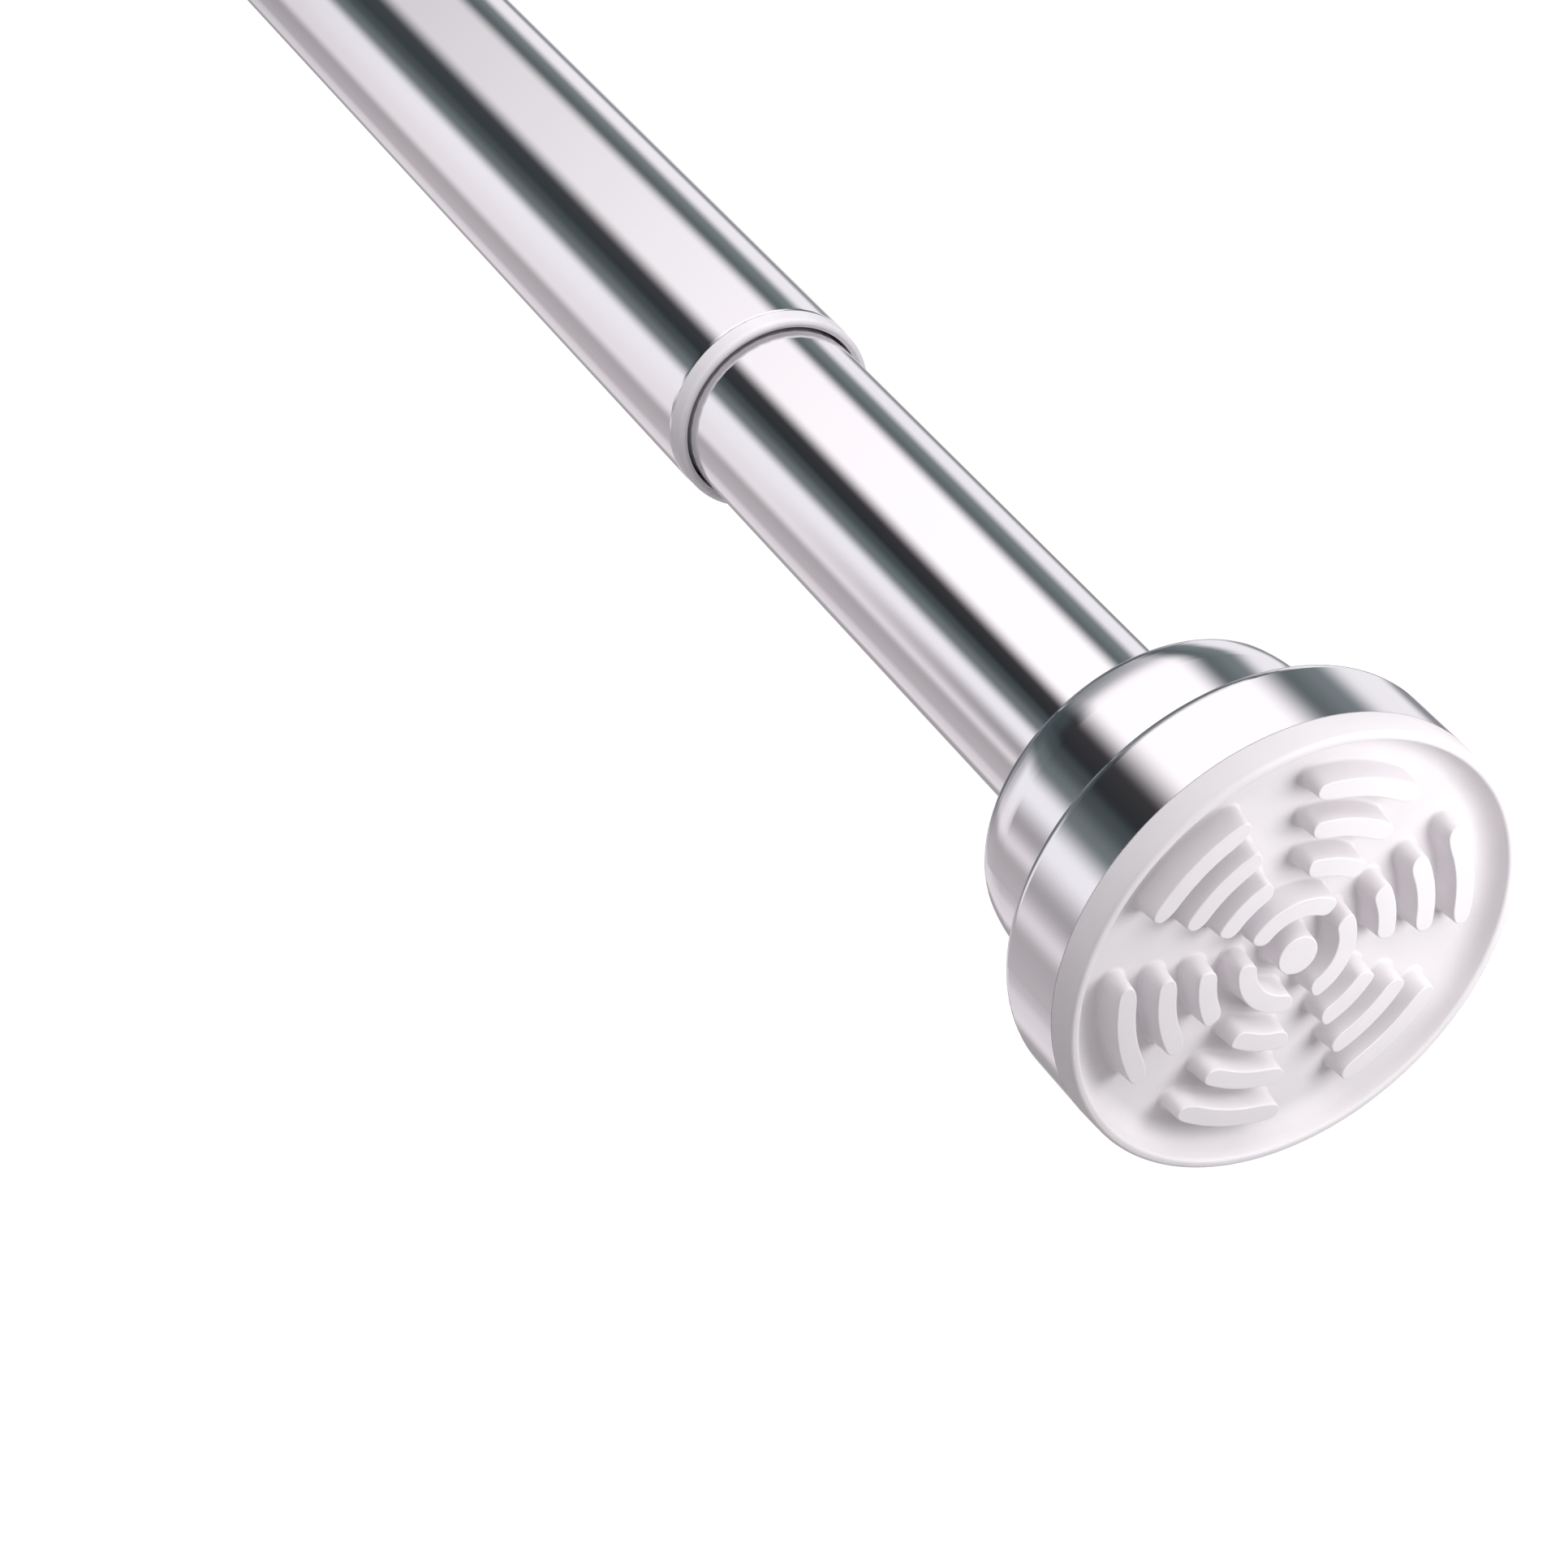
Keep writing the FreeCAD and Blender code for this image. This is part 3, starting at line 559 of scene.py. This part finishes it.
# Narrow grey flag that fades out towards the outer end: its middle and half its width in degrees
# about the rod
NEAR_FLAG_ANGLE = 192
NEAR_FLAG_HALF_WIDTH = 18
NEAR_FLAG_TONE = "#9d999e"

# Ends of the studio along the rod, both dark and not quite closed
OUTER_END_TONE = "#475155"
INNER_END_TONE = "#51575a"
END_SHARE = 0.85

# Soft edges, each from where it begins to where it is full, in a ray's X, or in its Z for the height
LEAN_FADE = (-0.66, -0.80)
NEAR_FLAG_FADE = (-0.74, -0.68)
INNER_END_FADE = (0.35, 0.85)
OUTER_END_FADE = (-0.79, -0.94)
KEY_FALL_FADE = (-0.70, -0.94)
KEY_HEIGHT_FADE = (0.15, 0.45)

# Sky that matt surfaces see: brightest overhead, falling off with this power of a ray's height
SKY_OVERHEAD = 2.8
SKY_FALLOFF = 3.0
SKY_TONE = "#fdfcfd"


def card_stops():
    """(position, colour) pairs of the cards' edges, in order round the rod."""
    stops = []
    for _, first, last, first_colour, last_colour in CARDS:
        stops.append(((first % 360) / 360, linear(first_colour)))
        stops.append(((last % 360) / 360, linear(last_colour)))
    return sorted(stops, key=lambda stop: stop[0])


def fade(tree, way, axis, edge, full=1.0):
    """Smooth rise from 0 to full over an edge along one axis of a ray's direction."""
    return add_node(tree, "ShaderNodeMapRange", {"interpolation_type": "SMOOTHSTEP", "From Min": edge[0],
                                                 "From Max": edge[1], "To Max": full}, {"Value": (way, axis)})


def card_colours(tree, way):
    """Tone of the cards in the direction of a ray; way holds its X, Y and Z."""
    angle = add_node(tree, "ShaderNodeMath", {"operation": "ARCTAN2"}, {0: (way, "Z"), 1: (way, "Y")})
    along = fade(tree, way, "X", LEAN_FADE)
    lean = add_node(tree, "ShaderNodeMath", {"operation": "MULTIPLY_ADD", 1: math.radians(FAR_CARD_LEAN),
                                             2: math.radians(FAR_CARD_SHIFT)}, {0: (way, "Z")})
    shifted = add_node(tree, "ShaderNodeMath", {"operation": "MULTIPLY_ADD"},
                       {0: (along, 0), 1: (lean, 0), 2: (angle, 0)})
    turn = add_node(tree, "ShaderNodeMath", {"operation": "DIVIDE", 1: 2 * math.pi}, {0: (shifted, 0)})
    whole = add_node(tree, "ShaderNodeMath", {"operation": "WRAP", 1: 1.0, 2: 0.0}, {0: (turn, 0)})
    ramp = add_node(tree, "ShaderNodeValToRGB", links={0: (whole, 0)})
    ramp.color_ramp.interpolation = "EASE"
    elements = ramp.color_ramp.elements
    stops = card_stops()
    while len(elements) < len(stops):
        elements.new(0.5)
    for element, (position, colour) in zip(elements, stops):
        element.position = position
        element.color = colour
    aside = add_node(tree, "ShaderNodeMath", {"operation": "SUBTRACT", 1: NEAR_FLAG_ANGLE / 360},
                     {0: (whole, 0)})
    apart = add_node(tree, "ShaderNodeMath", {"operation": "ABSOLUTE"}, {0: (aside, 0)})
    band = add_node(tree, "ShaderNodeMapRange", {"interpolation_type": "SMOOTHSTEP", "From Max": 0.0,
                                                 "From Min": NEAR_FLAG_HALF_WIDTH / 360},
                    {"Value": (apart, 0)})
    near = fade(tree, way, "X", NEAR_FLAG_FADE)
    weight = add_node(tree, "ShaderNodeMath", {"operation": "MULTIPLY"}, {0: (band, 0), 1: (near, 0)})
    return add_node(tree, "ShaderNodeMix", {"data_type": "RGBA", 7: linear(NEAR_FLAG_TONE)},
                    {0: (weight, 0), 6: (ramp, 0)})


def studio_world():
    """White to the camera, a soft sky to matt surfaces, and the cards to the metal."""
    world = bpy.data.worlds.new("studio")
    world.use_nodes = True
    bpy.context.scene.world = world
    tree = world.node_tree
    tree.nodes.clear()
    place = add_node(tree, "ShaderNodeTexCoord")
    way = add_node(tree, "ShaderNodeSeparateXYZ", links={0: (place, "Generated")})
    tones = card_colours(tree, way)
    inner_end = fade(tree, way, "X", INNER_END_FADE, END_SHARE)
    ended = add_node(tree, "ShaderNodeMix", {"data_type": "RGBA", 7: linear(INNER_END_TONE)},
                     {0: (inner_end, 0), 6: (tones, 2)})
    outer_end = fade(tree, way, "X", OUTER_END_FADE, END_SHARE)
    key_end = fade(tree, way, "X", KEY_FALL_FADE, END_SHARE)
    high = fade(tree, way, "Z", KEY_HEIGHT_FADE)
    key_fall = add_node(tree, "ShaderNodeMath", {"operation": "MULTIPLY"}, {0: (key_end, 0), 1: (high, 0)})
    fall = add_node(tree, "ShaderNodeMath", {"operation": "MAXIMUM"},
                    {0: (outer_end, 0), 1: (key_fall, 0)})
    closed = add_node(tree, "ShaderNodeMix", {"data_type": "RGBA", 7: linear(OUTER_END_TONE)},
                      {0: (fall, 0), 6: (ended, 2)})
    cards = add_node(tree, "ShaderNodeBackground", {"Strength": METAL_WHITE}, {"Color": (closed, 2)})
    upwards = add_node(tree, "ShaderNodeMath", {"operation": "MAXIMUM", 1: 0.0}, {0: (way, "Z")})
    soft = add_node(tree, "ShaderNodeMath", {"operation": "POWER", 1: SKY_FALLOFF}, {0: (upwards, 0)})
    glow = add_node(tree, "ShaderNodeMath", {"operation": "MULTIPLY", 1: SKY_OVERHEAD}, {0: (soft, 0)})
    sky = add_node(tree, "ShaderNodeBackground", {"Color": linear(SKY_TONE)}, {"Strength": (glow, 0)})
    white = add_node(tree, "ShaderNodeBackground", {"Color": WHITE, "Strength": 1.0})
    rays = add_node(tree, "ShaderNodeLightPath")
    metal = add_node(tree, "ShaderNodeMixShader",
                     links={0: (rays, "Is Glossy Ray"), 1: (sky, 0), 2: (cards, 0)})
    seen = add_node(tree, "ShaderNodeMath", {"operation": "MAXIMUM"},
                    {0: (rays, "Is Camera Ray"), 1: (rays, "Is Transmission Ray")})
    whole_world = add_node(tree, "ShaderNodeMixShader", links={0: (seen, 0), 1: (metal, 0), 2: (white, 0)})
    add_node(tree, "ShaderNodeOutputWorld", links={"Surface": (whole_world, 0)})


# Keys for the matt pieces: each one's name, power in watts, place from the point that it lights, and
# that point's X on the rod's axis
LAMP_SIZE = 0.06
LAMPS = [
    ("inner_pad_key", 0.060, (0.06, 0.041, 0.026), rod_length),
    ("collar_key", 0.012, (0.05, 0.01, 0.06), collar_front),
    ("outer_pad_key", 0.040, (-0.06, 0.03, 0.03), 0)]


def lamp(name, power, offset, lit_x):
    """Soft round lamp that faces the point it lights, unseen by the camera and by the metal."""
    light = bpy.data.lights.new(name, "AREA")
    light.shape = "DISK"
    light.size = LAMP_SIZE
    light.energy = power
    carrier = bpy.data.objects.new(name, light)
    bpy.context.scene.collection.objects.link(carrier)
    carrier.location = Vector((lit_x, 0, 0)) + Vector(offset)
    carrier.rotation_euler = (-Vector(offset)).to_track_quat("-Z", "Y").to_euler()
    carrier.visible_glossy = False
    carrier.visible_camera = False


# Camera: the photograph's, placed from the centre of the inner pad's face, with its backward direction
CAMERA_FROM_PAD = Vector((284.7, -208.3, 290.2)) * MM
CAMERA_BACK = Vector((0.70033, -0.3707, 0.6100))
CAMERA_LENS = 105.24
CAMERA_SENSOR = 36.0
CAMERA_CLIP_START = 0.01


def camera():
    data = bpy.data.cameras.new("camera")
    data.lens = CAMERA_LENS
    data.sensor_width = CAMERA_SENSOR
    data.clip_start = CAMERA_CLIP_START
    carrier = bpy.data.objects.new("camera", data)
    bpy.context.scene.collection.objects.link(carrier)
    carrier.location = Vector((rod_length, 0, 0)) + CAMERA_FROM_PAD
    carrier.rotation_euler = (-CAMERA_BACK).to_track_quat("-Z", "Y").to_euler()
    bpy.context.scene.camera = carrier


floor()
studio_world()
for name, power, offset, lit_x in LAMPS:
    lamp(name, power, offset, lit_x)
camera()
bpy.context.scene.view_settings.view_transform = "Standard"
